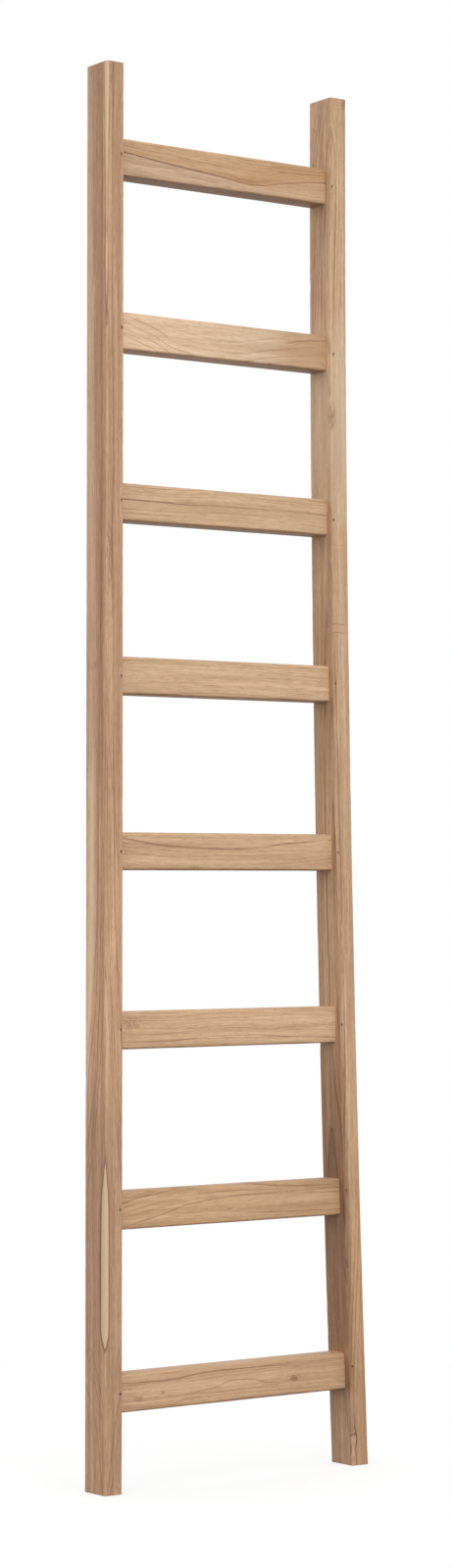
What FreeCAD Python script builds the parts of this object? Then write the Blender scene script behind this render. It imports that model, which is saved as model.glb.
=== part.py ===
"""Leaning blanket ladder of solid wood: two stiles, eight rungs, sixteen steel pins.

Millimetres, +Z up. The origin is midway between the feet, on the floor. X runs across the ladder
and its front looks towards -Y. The stiles come closer together towards the top. The left one is
straight and the right one has a slow natural bow inwards.

Each rung has a shoulder and a tenon at both ends. The tenon stands in a blind mortise in the
stile's inner face and is held by one pin, driven in from the stile's front as far as the tenon's
heart.
"""
import FreeCAD, Part
import os
import Sketcher

RUNG_COUNT = 8
SIDES = ("left", "right")
# A rod that stands along Z, turned about X by this angle in degrees, points from the front to the back.
PIN_TURN = -90

# Driving sizes: the alias in the sheet, and its value.
SIZES = (
    ("stile_length", 1900),
    ("stile_width", 27.5),
    ("stile_depth", 48),
    ("stile_arris", 1.5),
    ("stile_end_arris", 0.8),
    ("inner_width_at_foot", 384),
    ("inner_width_at_top", 348),
    ("right_stile_bow", 10.7),
    ("top_rung_below_top", 124.5),
    ("bottom_rung_above_foot", 129.5),
    ("rung_face", 50.5),
    ("rung_thickness", 34.5),
    ("rung_setback", 11),
    ("rung_arris", 3),
    ("tenon_length", 18),
    ("tenon_thickness", 14),
    ("tenon_height", 38),
    ("tenon_lead", 1),
    ("pin_radius", 1.1),
    ("pin_length", 32),
    ("shoulder_gap", 0.05),
    ("mortise_side_gap", 0.1),
    ("mortise_end_gap", 1),
    ("pin_gap", 0.05),
)

# How far each rung was set above its even place, from the top rung down.
RUNG_SHIFTS = (0, 1, 6.5, 9.5, 10.5, 7.5, 5, 0)

# Where each pin goes in: how far outside the stile's inner face, and how far above the rung's middle.
PIN_INSETS = {
    "left": (4, 3, 3, 3, 3, 3, 3.8, 3),
    "right": (3, 5, 3, 3, 3, 3, 3, 4.8),
}
PIN_LIFTS = {
    "left": (1, 2, 1, -2, -1, 2, 3, 2),
    "right": (-1, -2, -4, 0, 0, 0, 9, 7),
}

# Sizes that follow from the driving ones. The bowed face is an arc through both ends of the stile.
FOLLOWING = (
    ("rung_span", "stile_length - top_rung_below_top - bottom_rung_above_foot"),
    ("top_run_in", "(inner_width_at_foot - inner_width_at_top) / 2"),
    ("bow_chord", "sqrt(stile_length ^ 2 + top_run_in ^ 2)"),
    ("bow_radius", "(bow_chord ^ 2 / 4 + right_stile_bow ^ 2) / (2 * right_stile_bow)"),
    ("bow_reach", "(bow_radius - right_stile_bow) / bow_chord"),
    ("bow_centre_x", "(inner_width_at_foot + inner_width_at_top) / 4 + bow_reach * stile_length"),
    ("bow_centre_height", "stile_length / 2 + bow_reach * top_run_in"),
    ("rung_middle_depth", "rung_setback + rung_thickness / 2 - stile_depth / 2"),
)


def rung_numbers():
    return range(1, RUNG_COUNT + 1)


def size(alias):
    """How an expression names a cell of the sheet."""
    return "Sizes." + alias


def rung_height(number):
    return size("rung_{}_height".format(number))


def inner_face(side, height):
    """Expression for X of a stile's inner face at a height."""
    if side == "left":
        run_in = "Sizes.top_run_in * ({}) / Sizes.stile_length".format(height)
        return "({} - Sizes.inner_width_at_foot / 2)".format(run_in)
    rise = "(({}) - Sizes.bow_centre_height)".format(height)
    return "(Sizes.bow_centre_x - sqrt(Sizes.bow_radius ^ 2 - {} ^ 2))".format(rise)


def outwards(side, x, distance):
    """Expression for X moved by a distance from the ladder's middle towards a side."""
    sign = "-" if side == "left" else "+"
    return "({} {} ({}))".format(x, sign, distance)


def pin_place(side, number):
    """Expressions for X and height of a pin."""
    name = "{}_pin_{}_".format(side, number)
    face = inner_face(side, rung_height(number))
    height = "({} + {})".format(rung_height(number), size(name + "lift"))
    return outwards(side, face, size(name + "inset")), height


def make_sheet(document):
    sheet = document.addObject("Spreadsheet::Sheet", "Sizes")
    rows = list(SIZES)
    for number in rung_numbers():
        rows.append(("rung_{}_shift".format(number), RUNG_SHIFTS[number - 1]))
    for side in SIDES:
        for number in rung_numbers():
            name = "{}_pin_{}_".format(side, number)
            rows.append((name + "inset", PIN_INSETS[side][number - 1]))
            rows.append((name + "lift", PIN_LIFTS[side][number - 1]))
    for alias, formula in FOLLOWING:
        rows.append((alias, "=" + formula))
    for number in rung_numbers():
        drop = "rung_span * {} / {}".format(number - 1, RUNG_COUNT - 1)
        formula = "=stile_length - top_rung_below_top - {} + rung_{}_shift".format(drop, number)
        rows.append(("rung_{}_height".format(number), formula))
    for row, (alias, value) in enumerate(rows, start=1):
        sheet.set("A{}".format(row), alias)
        sheet.set("B{}".format(row), str(value))
        sheet.setAlias("B{}".format(row), alias)
    document.recompute()
    return sheet


def value_of(body, expression):
    result = body.evalExpression(expression)
    return getattr(result, "Value", result)


def new_body(document, name):
    body = document.addObject("PartDesign::Body", name)
    body.Label = name
    return body


def new_sketch(body, name, plane, offset="0"):
    """A sketch on one of the body's own planes, moved along the plane's normal."""
    sketch = body.newObject("Sketcher::SketchObject", name)
    origin_plane = [item for item in body.Origin.OriginFeatures if item.Role == plane][0]
    sketch.AttachmentSupport = [(origin_plane, "")]
    sketch.MapMode = "FlatFace"
    sketch.setExpression("AttachmentOffset.Base.z", offset)
    return sketch


def fix_point(sketch, body, geometry, end, place):
    """Hold a point of the sketch at a place given by two expressions."""
    for direction, expression in zip(("DistanceX", "DistanceY"), place):
        value = value_of(body, expression)
        index = sketch.addConstraint(Sketcher.Constraint(direction, -1, 1, geometry, end, value))
        sketch.setExpression("Constraints[{}]".format(index), expression)


def draw_outline(sketch, body, corners):
    """A closed outline of straight lines through corners given by expressions."""
    points = []
    for across, along in corners:
        points.append(FreeCAD.Vector(value_of(body, across), value_of(body, along), 0))
    following = points[1:] + points[:1]
    lines = [Part.LineSegment(start, end) for start, end in zip(points, following)]
    indices = sketch.addGeometry(lines, False)
    for line, next_line in zip(indices, list(indices[1:]) + [indices[0]]):
        sketch.addConstraint(Sketcher.Constraint("Coincident", line, 2, next_line, 1))
    for line, corner in zip(indices, corners):
        fix_point(sketch, body, line, 1, corner)


def draw_rectangle(sketch, body, left, right, low, high):
    draw_outline(sketch, body, ((left, low), (right, low), (right, high), (left, high)))


def draw_circle(sketch, body, centre, radius):
    middle = FreeCAD.Vector(value_of(body, centre[0]), value_of(body, centre[1]), 0)
    circle = Part.Circle(middle, FreeCAD.Vector(0, 0, 1), value_of(body, radius))
    index = sketch.addGeometry(circle, False)
    fix_point(sketch, body, index, 3, centre)
    constraint = sketch.addConstraint(Sketcher.Constraint("Radius", index, value_of(body, radius)))
    sketch.setExpression("Constraints[{}]".format(constraint), radius)


def draw_bowed_edge(sketch, body, shift):
    """The arc of the bowed face, moved outwards by an expression. It runs from the top to the foot."""
    centre = ("Sizes.bow_centre_x + {}".format(shift), "Sizes.bow_centre_height")
    middle = FreeCAD.Vector(value_of(body, centre[0]), value_of(body, centre[1]), 0)
    radius = value_of(body, "Sizes.bow_radius")
    ends = []
    for height in ("Sizes.stile_length", "0"):
        across = value_of(body, "{} + {}".format(inner_face("right", height), shift))
        ends.append(FreeCAD.Vector(across, value_of(body, height), 0))
    halfway = FreeCAD.Vector(middle.x - radius, middle.y, 0)
    index = sketch.addGeometry(Part.Arc(ends[0], halfway, ends[1]), False)
    fix_point(sketch, body, index, 3, centre)
    constraint = sketch.addConstraint(Sketcher.Constraint("Radius", index, radius))
    sketch.setExpression("Constraints[{}]".format(constraint), "Sizes.bow_radius")
    height = value_of(body, "Sizes.stile_length")
    top = sketch.addConstraint(Sketcher.Constraint("DistanceY", -1, 1, index, 1, height))
    sketch.setExpression("Constraints[{}]".format(top), "Sizes.stile_length")
    sketch.addConstraint(Sketcher.Constraint("PointOnObject", index, 2, -1))
    return index


def draw_bowed_outline(sketch, body):
    inner = draw_bowed_edge(sketch, body, "0")
    outer = draw_bowed_edge(sketch, body, "Sizes.stile_width")
    for end in (1, 2):
        start = sketch.getPoint(inner, end)
        finish = sketch.getPoint(outer, end)
        line = sketch.addGeometry(Part.LineSegment(start, finish), False)
        sketch.addConstraint(Sketcher.Constraint("Coincident", line, 1, inner, end))
        sketch.addConstraint(Sketcher.Constraint("Coincident", line, 2, outer, end))


def draw_straight_outline(sketch, body):
    corners = []
    for height in ("0", "Sizes.stile_length"):
        face = inner_face("left", height)
        ends = [(outwards("left", face, "Sizes.stile_width"), height), (face, height)]
        corners.extend(ends if height == "0" else reversed(ends))
    draw_outline(sketch, body, corners)


def pad_both_ways(body, sketch, name, thickness):
    pad = body.newObject("PartDesign::Pad", name)
    pad.Profile = sketch
    pad.SideType = "Symmetric"
    pad.setExpression("Length", thickness)
    return pad


def pocket(body, sketch, name, depth, reverse):
    cut = body.newObject("PartDesign::Pocket", name)
    cut.Profile = sketch
    cut.Reversed = reverse
    cut.setExpression("Length", depth)
    return cut


def edge_names(shape, wanted):
    names = []
    for number, edge in enumerate(shape.Edges, start=1):
        if wanted(edge):
            names.append("Edge{}".format(number))
    return names


def ease(body, kind, name, wanted, amount):
    """Fillet or chamfer the edges of the body's last feature that are wanted."""
    body.Document.recompute()
    base = body.Tip
    feature = body.newObject("PartDesign::" + kind, name)
    feature.Base = (base, edge_names(base.Shape, wanted))
    feature.setExpression("Radius" if kind == "Fillet" else "Size", amount)
    return feature


def must_cut(body, before, what):
    """Stop when a cut has taken nothing away."""
    body.Document.recompute()
    if body.Shape.Volume >= before:
        raise RuntimeError("{} of {} cuts nothing".format(what, body.Label))


def cut_mortises(body, side):
    """Blind mortises along X, open at the stile's inner face."""
    half_thickness = "(Sizes.tenon_thickness / 2 + Sizes.mortise_side_gap)"
    half_height = "(Sizes.tenon_height / 2 + Sizes.mortise_side_gap)"
    depth = "(Sizes.tenon_length + Sizes.mortise_end_gap)"
    front = "Sizes.rung_middle_depth - {}".format(half_thickness)
    back = "Sizes.rung_middle_depth + {}".format(half_thickness)
    for number in rung_numbers():
        middle = rung_height(number)
        bottom = outwards(side, inner_face(side, middle), depth)
        sketch = new_sketch(body, "{}_mortise_{}_outline".format(side, number), "YZ_Plane", bottom)
        low = "{} - {}".format(middle, half_height)
        high = "{} + {}".format(middle, half_height)
        draw_rectangle(sketch, body, front, back, low, high)
        body.Document.recompute()
        before = body.Shape.Volume
        past_the_face = depth + " + Sizes.stile_width / 4"
        pocket(body, sketch, "{}_mortise_{}".format(side, number), past_the_face, side == "left")
        must_cut(body, before, "mortise {}".format(number))


def drill_stile(body, side):
    """Pin holes from the stile's front face, one at each rung. They open into the mortises."""
    sketch = new_sketch(body, side + "_pin_hole_centres", "XZ_Plane", "Sizes.stile_depth / 2")
    for number in rung_numbers():
        centre = pin_place(side, number)
        draw_circle(sketch, body, centre, "Sizes.pin_radius + Sizes.pin_gap")
    before = body.Shape.Volume
    pocket(body, sketch, side + "_pin_holes", "Sizes.pin_length", False)
    must_cut(body, before, "row of pin holes")


def make_stile(document, side):
    body = new_body(document, side + "_stile")
    outline = new_sketch(body, side + "_stile_outline", "XZ_Plane")
    if side == "left":
        draw_straight_outline(outline, body)
    else:
        draw_bowed_outline(outline, body)
    pad_both_ways(body, outline, side + "_stile_blank", "Sizes.stile_depth")
    length = value_of(body, "Sizes.stile_length")
    long_enough = length / 2

    def at_an_end(edge):
        box = edge.BoundBox
        flat = box.ZLength < 0.001
        return flat and (abs(box.ZMin) < 0.001 or abs(box.ZMax - length) < 0.001)

    ease(body, "Chamfer", side + "_stile_end_arrises", at_an_end, "Sizes.stile_end_arris")
    ease(body, "Fillet", side + "_stile_long_arrises", lambda edge: edge.Length > long_enough,
         "Sizes.stile_arris")
    document.recompute()
    cut_mortises(body, side)
    drill_stile(body, side)
    return body


def rung_end(side, number, rise, reach="0"):
    """Expression for X of a rung's end at a rise above its middle, from the stile's inner face."""
    face = inner_face(side, "{} + ({})".format(rung_height(number), rise))
    return outwards(side, face, reach)


def make_rung(document, number):
    name = "rung_{}".format(number)
    body = new_body(document, name)
    body.setExpression("Placement.Base.z", rung_height(number))
    mid_plane = "-Sizes.rung_middle_depth"
    top = "Sizes.rung_face / 2"
    foot = "-Sizes.rung_face / 2"
    front = new_sketch(body, name + "_front_outline", "XZ_Plane", mid_plane)
    corners = []
    for side, rise in (("left", foot), ("right", foot), ("right", top), ("left", top)):
        corners.append((rung_end(side, number, rise, "-Sizes.shoulder_gap"), rise))
    draw_outline(front, body, corners)
    pad_both_ways(body, front, name + "_blank", "Sizes.rung_thickness")
    longer_than = value_of(body, "Sizes.inner_width_at_top") / 2
    ease(body, "Fillet", name + "_arrises", lambda edge: edge.Length > longer_than,
         "Sizes.rung_arris")

    bar = new_sketch(body, name + "_tenon_outline", "XZ_Plane", mid_plane)
    ends = [rung_end(side, number, "0", "Sizes.tenon_length") for side in SIDES]
    draw_rectangle(bar, body, ends[0], ends[1], "-Sizes.tenon_height / 2", "Sizes.tenon_height / 2")
    pad_both_ways(body, bar, name + "_tenons", "Sizes.tenon_thickness")
    end_places = [value_of(body, end) for end in ends]

    def at_a_tenon_end(edge):
        box = edge.BoundBox
        return box.XLength < 0.001 and any(abs(box.XMin - place) < 0.001 for place in end_places)

    ease(body, "Chamfer", name + "_tenon_leads", at_a_tenon_end, "Sizes.tenon_lead")

    pin_end_plane = "Sizes.stile_depth / 2 - Sizes.pin_length"
    holes = new_sketch(body, name + "_pin_hole_centres", "XZ_Plane", pin_end_plane)
    for side in SIDES:
        across, height = pin_place(side, number)
        centre = (across, "{} - {}".format(height, rung_height(number)))
        draw_circle(holes, body, centre, "Sizes.pin_radius + Sizes.pin_gap")
    document.recompute()
    before = body.Shape.Volume
    pocket(body, holes, name + "_pin_holes", "Sizes.pin_length", True)
    must_cut(body, before, "pair of pin holes")
    return body


def make_pin(document, side, number):
    """A headless steel pin, square at both ends. Its outer end is flush with the stile's front."""
    name = "{}_pin_{}".format(side, number)
    pin = document.addObject("Part::Cylinder", name)
    pin.Label = name
    pin.setExpression("Radius", "Sizes.pin_radius")
    pin.setExpression("Height", "Sizes.pin_length")
    pin.Placement.Rotation = FreeCAD.Rotation(FreeCAD.Vector(1, 0, 0), PIN_TURN)
    across, height = pin_place(side, number)
    pin.setExpression("Placement.Base.x", across)
    pin.setExpression("Placement.Base.y", "-Sizes.stile_depth / 2")
    pin.setExpression("Placement.Base.z", height)
    return pin


def check_document(document, pieces):
    """Stop when any object failed or any piece isn't one sound solid."""
    for item in document.Objects:
        if "Invalid" in item.State or "Error" in item.State:
            raise RuntimeError("{} has failed: {}".format(item.Label, item.State))
    for piece in pieces:
        shape = piece.Shape
        if shape.isNull() or not shape.isValid() or len(shape.Solids) != 1:
            raise RuntimeError("{} isn't one sound solid".format(piece.Label))


def main():
    os.makedirs("parts", exist_ok=True)
    document = FreeCAD.newDocument("BlanketLadder")
    make_sheet(document)
    pieces = [make_stile(document, side) for side in SIDES]
    pieces += [make_rung(document, number) for number in rung_numbers()]
    pieces += [make_pin(document, side, number) for side in SIDES for number in rung_numbers()]
    document.recompute()
    check_document(document, pieces)
    for piece in pieces:
        piece.Shape.exportStep("parts/{}.step".format(piece.Label))
        print("{} {:.0f} mm3".format(piece.Label, piece.Shape.Volume))


main()
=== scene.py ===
"""Looks of the leaning blanket ladder: worn solid-wood bars and small steel pins on the CAD frame.

Metres, +Z up, the front looks towards -Y. The grain runs along every bar, and each bar is cut from
its own piece of the log, so its growth rings show on all of its faces and on its ends.
"""

import math

import bmesh
import bpy
from mathutils import Matrix, Vector, noise


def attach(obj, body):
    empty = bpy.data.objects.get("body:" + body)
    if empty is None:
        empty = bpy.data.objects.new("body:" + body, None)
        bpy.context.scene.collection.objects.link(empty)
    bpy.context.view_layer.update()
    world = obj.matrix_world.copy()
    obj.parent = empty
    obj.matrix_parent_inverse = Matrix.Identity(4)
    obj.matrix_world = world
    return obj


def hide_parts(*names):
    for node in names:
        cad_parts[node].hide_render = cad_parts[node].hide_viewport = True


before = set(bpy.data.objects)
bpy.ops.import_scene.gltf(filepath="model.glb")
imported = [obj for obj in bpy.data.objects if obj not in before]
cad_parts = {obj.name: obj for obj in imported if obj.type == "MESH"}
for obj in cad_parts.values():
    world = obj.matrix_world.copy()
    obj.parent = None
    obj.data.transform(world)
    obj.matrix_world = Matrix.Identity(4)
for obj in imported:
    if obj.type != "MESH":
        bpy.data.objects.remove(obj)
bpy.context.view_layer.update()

# Sizes of the ladder, the same as in the CAD source.
STILE_LENGTH = 1.9
STILE_WIDTH = 0.0275
STILE_DEPTH = 0.048
STILE_ARRIS = 0.0015
STILE_END_ARRIS = 0.0008
INNER_AT_FOOT = 0.384
INNER_AT_TOP = 0.348
RIGHT_BOW = 0.0107
RUNG_FACE = 0.0505
RUNG_THICKNESS = 0.0345
RUNG_ARRIS = 0.003
RUNG_MIDDLE_DEPTH = 0.00425
RUNG_HEIGHTS = (1.7755, 1.54136, 1.31171, 1.07957, 0.84543, 0.60729, 0.36964, 0.1295)
SHOULDER_GAP = 0.00005
TENON_LENGTH = 0.018
TENON_THICKNESS = 0.014
TENON_HEIGHT = 0.038
TENON_LEAD = 0.001
MORTISE_SIDE_GAP = 0.0001
MORTISE_END_GAP = 0.001
PIN_RADIUS = 0.0011
PIN_LENGTH = 0.032
PIN_GAP = 0.00005
PIN_SINK = 0.0006
PIN_INSETS = {
    "left": (4, 3, 3, 3, 3, 3, 3.8, 3),
    "right": (3, 5, 3, 3, 3, 3, 3, 4.8),
}
PIN_LIFTS = {
    "left": (1, 2, 1, -2, -1, 2, 3, 2),
    "right": (-1, -2, -4, 0, 0, 0, 9, 7),
}
MM = 0.001
# Drying cracks in the feet, in millimetres: rows of heights, each followed by the place across the
# front face, and by the depth.
FOOT_CRACKS = {
    "left": ((-2, -5.8, 7, -4.2, 16, -1.2, 26, 1.0, 30, 1.4),
             (-2, 0.6, 7, 0.8, 16, 0.4, 26, 0.1, 30, 0)),
    "right": ((-2, -6.6, 10, -6.8, 20, -7.2, 30, -6.2, 39, -4.8, 44, -6, 50, -7.8, 60, -8.7, 80, -9),
              (-2, 0.6, 10, 0.7, 20, 0.9, 30, 1.2, 44, 1.4, 50, 1.2, 60, 0.6, 72, 0.3, 80, 0)),
}
RIGHT_BRANCH = (-14, 41, -10, 43, -6, 44.5)
BRANCH_HALF = 1.1
BRANCH_DEPTH = 1.1
SLIVER_TOP = 44
SLIVER_SEED = 4
# Half a crack's width. Nothing behind CRACKED_FRONT moves, and a crack grows to its full depth from
# FRONT_FROM outwards over FRONT_OVER.
CRACK_HALF = 0.9
CRACKED_FRONT = -18
FRONT_FROM = 22
FRONT_OVER = 1.5
TOP_RUN_IN = (INNER_AT_FOOT - INNER_AT_TOP) / 2
SIDES = ("left", "right")
NUMBERS = range(1, 9)
STILE_SEEDS = (2.0, 7.0)
FIRST_RUNG_SEED = 20.0

# How finely the bars are divided: along them, and across them where their wear and cracks need it.
STATION = 0.005
STILE_CUTS_X = (-0.0075, 0, 0.0075)
STILE_CUTS_Y = (-0.0185, -0.012, 0.018)
RUNG_CUT_X = 0.0095
CRACK_STEP = 0.6
CRACK_BACK = -0.0115
# The first fine cut across a foot in millimetres, and how many there are.
CRACK_CUTS = {"left": (-8, 17), "right": (-13.4, 19)}
SIDE_CUTS = (-22.4, 6)
# How a bar wears: how far from an arris, how fast it changes along the bar, how deep the slow and
# the quick rubbing go, and how far the flats dip.
STILE_WEAR = (2.2 * STILE_ARRIS, 9, 0.000275, 0.0008, 0.00009)
RUNG_WEAR = (2 * RUNG_ARRIS, 12, 0.0007, 0, 0.00012)
QUICK_PACE = 48
DIP_PACE = 30
PIN_SEGMENTS = 16
HOLE_SEGMENTS = 20
PIN_DOME = 0.4
# How much of a rub goes each way, and over what length it fades out at a stile's end.
RUB_SHARE = 0.7
END_FADE = 0.004
NEARLY = 1e-6
ON_FACE = 1e-5
SAME_PLACE = 1e-7
RING_SLACK = 1e-3
# How much of an edge's length or of a face's turn has to lie along an axis to count as along it.
MOSTLY = 0.9
SHARP_ANGLE = math.radians(38)
# How far apart two seeds lie in the noise, along each axis.
SEED_WAYS = (7.31, 3.17, 1.93)


# ---------------------------------------------------------------- where the faces lie


def inner_face(side, height):
    """X of a stile's inner face at a height. The right one is an arc through both ends."""
    if side == "left":
        return TOP_RUN_IN * height / STILE_LENGTH - INNER_AT_FOOT / 2
    chord = math.hypot(STILE_LENGTH, TOP_RUN_IN)
    radius = (chord**2 / 4 + RIGHT_BOW**2) / (2 * RIGHT_BOW)
    reach = (radius - RIGHT_BOW) / chord
    centre_x = (INNER_AT_FOOT + INNER_AT_TOP) / 4 + reach * STILE_LENGTH
    centre_height = STILE_LENGTH / 2 + reach * TOP_RUN_IN
    return centre_x - math.sqrt(radius**2 - (height - centre_height) ** 2)


def outwards(side, distance):
    return -distance if side == "left" else distance


def pin_place(side, number):
    """X and height of a pin."""
    middle = RUNG_HEIGHTS[number - 1]
    inset = PIN_INSETS[side][number - 1] * MM
    lift = PIN_LIFTS[side][number - 1] * MM
    return inner_face(side, middle) + outwards(side, inset), middle + lift


# ---------------------------------------------------------------- bars


def held(share):
    """A share held between 0 and 1."""
    return min(1, max(0, share))


def bevel(bm, edges, offset, segments):
    bmesh.ops.bevel(bm, geom=edges, offset=offset, offset_type="OFFSET", segments=segments,
                    profile=0.5, affect="EDGES", material=-1)


def runs_along(edge, axis):
    way = edge.verts[1].co - edge.verts[0].co
    return abs(way[axis]) > MOSTLY * way.length


def rounded_bar(width, depth, length, arris, segments):
    """A bar standing along Z, its foot at 0, centred on X and Y, with rounded long arrises."""
    bm = bmesh.new()
    bmesh.ops.create_cube(bm, size=1.0)
    bmesh.ops.translate(bm, vec=(0, 0, 0.5), verts=bm.verts)
    bmesh.ops.scale(bm, vec=(width, depth, length), verts=bm.verts)
    bevel(bm, [e for e in bm.edges if runs_along(e, 2)], arris, segments)
    return bm


def ease_ends(bm, length, amount):
    """Chamfer the outlines of both ends."""
    rims = []
    for edge in bm.edges:
        heights = [v.co.z for v in edge.verts]
        if max(heights) < NEARLY or min(heights) > length - NEARLY:
            rims.append(edge)
    bevel(bm, rims, amount, 2)


def cut_planes(bm, axis, places, wanted=None):
    """Cut by planes square to an axis: the whole mesh, or the faces whose middles are wanted."""
    normal = Vector((0, 0, 0))
    normal[axis] = 1
    for place in places:
        geometry = bm.verts[:] + bm.edges[:] + bm.faces[:]
        if wanted:
            faces = [f for f in bm.faces if wanted(f.calc_center_median())]
            edges = {e for f in faces for e in f.edges}
            verts = {v for f in faces for v in f.verts}
            geometry = faces + list(edges) + list(verts)
        bmesh.ops.bisect_plane(bm, geom=geometry, dist=NEARLY, plane_co=normal * place, plane_no=normal)


def steps(start, count, step=CRACK_STEP):
    """Places in metres, from a first one in millimetres."""
    return [MM * (step * number + start) for number in range(count)]


def set_stations(bm, low, high, stations):
    """Divide the long edges between two heights, and put each new ring at its station."""
    shortest = (high - low) * MOSTLY
    long_edges = [e for e in bm.edges if runs_along(e, 2) and e.calc_length() > shortest]
    bmesh.ops.subdivide_edges(bm, edges=long_edges, cuts=len(stations), use_grid_fill=True)
    step = (high - low) / (len(stations) + 1)
    for v in bm.verts:
        ring = (v.co.z - low) / step
        number = round(ring)
        if 1 <= number <= len(stations) and abs(ring - number) < RING_SLACK:
            v.co.z = stations[number - 1]


def even_stations(low, high, step, fixed=()):
    """Heights about a step apart from low to high, with the fixed ones among them."""
    marks = [low] + sorted(fixed) + [high]
    stations = []
    for start, end in zip(marks, marks[1:]):
        count = max(1, round((end - start) / step))
        stations += [start + (end - start) * i / count for i in range(count)]
    return stations[1:]


def wander(place, seed):
    """A smooth number between about -1 and 1 that changes over the place."""
    return noise.noise(Vector(place) + Vector([seed * way for way in SEED_WAYS]))


def wear(verts, half_width, half_depth, habits, seed, fade_to=None):
    """Rub a standing bar's arrises down unevenly, slowly and in spots, and leave its flats uneven.

    It only takes wood away. Where fade_to gives the bar's length, it fades out at both ends.
    """
    reach, pace, slow_rub, quick_rub, dent = habits
    for v in verts:
        x, y, z = v.co
        fade = held(min(z, fade_to - z) / END_FADE) if fade_to else 1
        side_x = 1 if x > 0 else -1
        side_y = 1 if y > 0 else -1
        in_x = half_width - abs(x)
        in_y = half_depth - abs(y)
        near = max(0, 1 - math.hypot(in_x, in_y) / reach)
        if in_x > ON_FACE and in_y > ON_FACE and near == 0:
            continue
        corner = 10 * side_x + 23 * side_y
        slow = 0.5 + 0.5 * wander((corner, 0, z * pace), seed)
        quick = max(0, wander((corner, 5, z * QUICK_PACE), seed + 1)) ** 2
        deep = (slow_rub * slow + quick_rub * quick) * near * fade * RUB_SHARE
        dip = dent * (0.5 + 0.5 * wander((x * DIP_PACE, y * DIP_PACE, z * (pace + 2)), seed + 2)) * fade
        v.co.x -= side_x * (deep + (dip if in_x < ON_FACE else 0))
        v.co.y -= side_y * (deep + (dip if in_y < ON_FACE else 0))


def between(points, place):
    """The value at a place in a row of places, each followed by the value there."""
    pairs = list(zip(points[::2], points[1::2]))
    for (start, low), (end, high) in zip(pairs, pairs[1:]):
        if place <= end:
            return low + (high - low) * held((place - start) / (end - start))
    return points[-1]


def loosened(x, y, z, course, on_front):
    """How far the right foot's loose sliver is pushed in, and its branch and hollow sideways."""
    rough = 0.5 + 0.5 * wander((x * 0.4, 3, z * 0.22), SLIVER_SEED)
    push = 0
    if x < between(course, z) and z < SLIVER_TOP:
        push = (0.15 + 0.5 * rough) * on_front
    branch = max(0, 1 - abs(z - between(RIGHT_BRANCH, x)) / BRANCH_HALF) if x < -6 else 0
    push = max(push, BRANCH_DEPTH * branch * on_front)
    hollow = math.exp(-((z - 23) / 7) ** 2 - ((y + 20.8) / 1.1) ** 2) if x < -13 else 0
    on_corner = 1 if x < -12.5 and y < -20 else 0
    return push, 0.9 * hollow * rough + 0.8 * branch * on_corner


def crack_foot(bm, side):
    """Open the drying cracks in a stile's foot, still standing centred on X and Y, all inwards."""
    course, depth = FOOT_CRACKS[side]
    top = course[-2]
    for v in bm.verts:
        x, y, z = (item / MM for item in v.co)
        if z > top or y > CRACKED_FRONT:
            continue
        on_front = held((-y - FRONT_FROM) / FRONT_OVER)
        aside = abs(x - between(course, z))
        push = between(depth, z) * max(0, 1 - aside / CRACK_HALF) * on_front
        if side == "right":
            sliver, across = loosened(x, y, z, course, on_front)
            push = max(push, sliver)
            v.co.x += across * MM
        v.co.y += push * MM


def grow(bm, faces, way):
    """Extrude a patch of faces, and give its new end faces and their corners."""
    grown = bmesh.ops.extrude_face_region(bm, geom=faces)["geom"]
    moved = [item for item in grown if isinstance(item, bmesh.types.BMVert)]
    ends = [item for item in grown if isinstance(item, bmesh.types.BMFace)]
    bmesh.ops.translate(bm, vec=way, verts=moved)
    left_over = [face for face in faces if face.is_valid]
    if left_over:
        bmesh.ops.delete(bm, geom=left_over, context="FACES_ONLY")
    return ends, moved


def open_sockets(bm, side, depth, spans, mouth):
    """Push the faces inside each mouth into the wood, which leaves blind mortises."""
    for low, high in spans:
        faces = []
        for face in bm.faces:
            middle = face.calc_center_median()
            within = mouth[0] < middle.y < mouth[1] and low < middle.z < high
            if within and face.normal.x * side > MOSTLY:
                faces.append(face)
        grow(bm, faces, (-side * depth, 0, 0))


def finish_mesh(bm, name):
    bmesh.ops.remove_doubles(bm, verts=bm.verts, dist=SAME_PLACE)
    bmesh.ops.recalc_face_normals(bm, faces=bm.faces)
    mesh = bpy.data.meshes.new(name)
    bm.to_mesh(mesh)
    bm.free()
    return mesh


def show(item):
    bpy.context.scene.collection.objects.link(item)
    return item


def add_piece(mesh, name, material, node):
    """Show a mesh as the piece that stands for a CAD node."""
    mesh.shade_smooth()
    mesh.set_sharp_from_angle(angle=SHARP_ANGLE)
    piece = show(bpy.data.objects.new(name, mesh))
    mesh.materials.clear()
    mesh.materials.append(material)
    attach(piece, "root")
    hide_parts(node)
    return piece


def add_rod(bm, place, radius, length, segments):
    """Add a closed rod along Y, with its middle at a place."""
    turn = Matrix.Translation(place) @ Matrix.Rotation(math.pi / 2, 4, "X")
    bmesh.ops.create_cone(bm, cap_ends=True, segments=segments, radius1=radius, radius2=radius,
                          depth=length, matrix=turn)


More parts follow.
